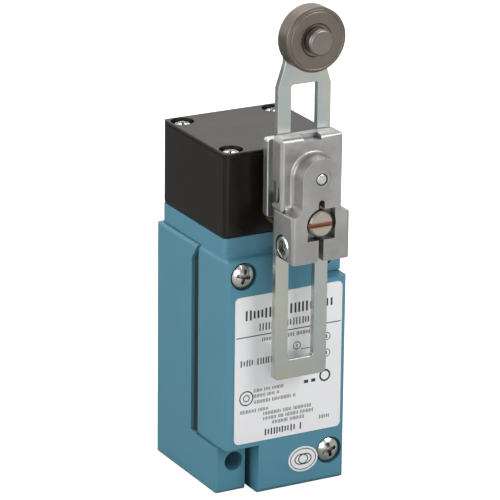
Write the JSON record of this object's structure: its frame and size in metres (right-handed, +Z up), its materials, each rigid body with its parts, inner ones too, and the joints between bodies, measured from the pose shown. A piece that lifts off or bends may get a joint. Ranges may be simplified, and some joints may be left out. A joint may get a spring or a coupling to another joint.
{
  "type": "limit switch",
  "caption": "Plug-in limit switch: painted die-cast body on a receptacle, dark rotary head, and an adjustable slotted lever with a steel roller.",
  "frame": {"origin": "middle of the two mounting holes, on the receptacle's back plane", "axes": "+Z up the switch towards the roller, +Y into the machine it is mounted on, +X to the right seen from the front"},
  "size_m": [0.0418, 0.0629, 0.1514],
  "materials": {
    "base_paint": "satin",
    "unit_paint": "satin",
    "head_moulding": "satin",
    "black_rubber": "matte",
    "label": "satin",
    "sticker": "satin",
    "plated_steel": "bright",
    "arm_plating": "satin",
    "roller_steel": "satin",
    "pin_steel": "satin",
    "dark_steel": "satin",
    "shaft_steel": "satin",
    "cast_zinc": "satin",
    "bronze": "satin",
    "brass": "satin",
    "copper": "satin",
    "phenolic": "satin",
    "cover_moulding": "satin",
    "pale_moulding": "satin",
    "green_screw": "satin"
  },
  "bodies": {
    "receptacle": {"base_housing": "base_paint", "terminal_block": "phenolic", "terminal_plates": "brass", "wire_screws": "plated_steel", "terminal_block_screws": "plated_steel", "ground_screw": "green_screw"},
    "switch_unit": {"switch_body": "unit_paint", "body_gasket": "black_rubber", "label_plate": "label", "oval_sticker": "sticker", "captive_screws": "plated_steel", "captive_clips": "plated_steel", "contact_housing": "phenolic", "contact_cover": "cover_moulding", "fixed_contacts": "brass", "contact_block_screws": "plated_steel", "head_housing": "head_moulding", "head_screws": "plated_steel", "head_gasket": "black_rubber", "shaft_bushing": "bronze", "shaft_seal": "black_rubber", "return_spring": "plated_steel", "carrier_spring": "plated_steel"},
    "follower": {"cam_follower": "pale_moulding"},
    "carrier": {"contact_carrier": "pale_moulding", "bridge_contacts": "copper"},
    "shaft": {"operating_shaft": "shaft_steel", "shaft_cam": "dark_steel", "cam_pin": "plated_steel", "shaft_clip": "dark_steel"},
    "hub": {"hub_casting": "cast_zinc", "hub_clamp_screw": "dark_steel", "clamp_nut": "plated_steel", "rear_clamp_plate": "plated_steel", "hub_rivet": "plated_steel"},
    "arm": {"lever_arm": "arm_plating", "roller_pin": "pin_steel"},
    "roller": {"roller": "roller_steel"}
  },
  "joints": [
    {"name": "unit_slide", "type": "slide", "parent": "receptacle", "child": "switch_unit", "axis": [0, -1, 0], "range_m": [0, 0.03]},
    {"name": "follower_slide", "type": "slide", "parent": "switch_unit", "child": "follower", "axis": [0, 0, -1], "range_m": [0, 0.0016], "stiffness_N_per_m": 2000, "springref_m": -0.001, "deforming": ["return_spring"]},
    {"name": "carrier_slide", "type": "slide", "parent": "switch_unit", "child": "carrier", "axis": [0, 0, -1], "range_m": [0, 0.0016], "deforming": ["carrier_spring"]},
    {"name": "shaft_turn", "type": "hinge", "parent": "switch_unit", "child": "shaft", "pos_m": [0, -0.04, 0.04925], "axis": [0, -1, 0], "range_deg": [-75, 75], "stiffness_Nm_per_rad": 0.3},
    {"name": "lever_reclamp", "type": "hinge", "parent": "shaft", "child": "hub", "pos_m": [0, -0.056, 0.04925], "axis": [0, -1, 0], "continuous": true},
    {"name": "arm_slide", "type": "slide", "parent": "hub", "child": "arm", "axis": [0, 0, 1], "range_m": [-0.0153, 0.0355]},
    {"name": "roller_spin", "type": "hinge", "parent": "arm", "child": "roller", "pos_m": [0, -0.054, 0.1025], "axis": [0, -1, 0], "continuous": true}
  ],
  "couplings": [
    {"joint": "carrier_slide", "follows": "follower_slide", "ratio": 1}
  ]
}
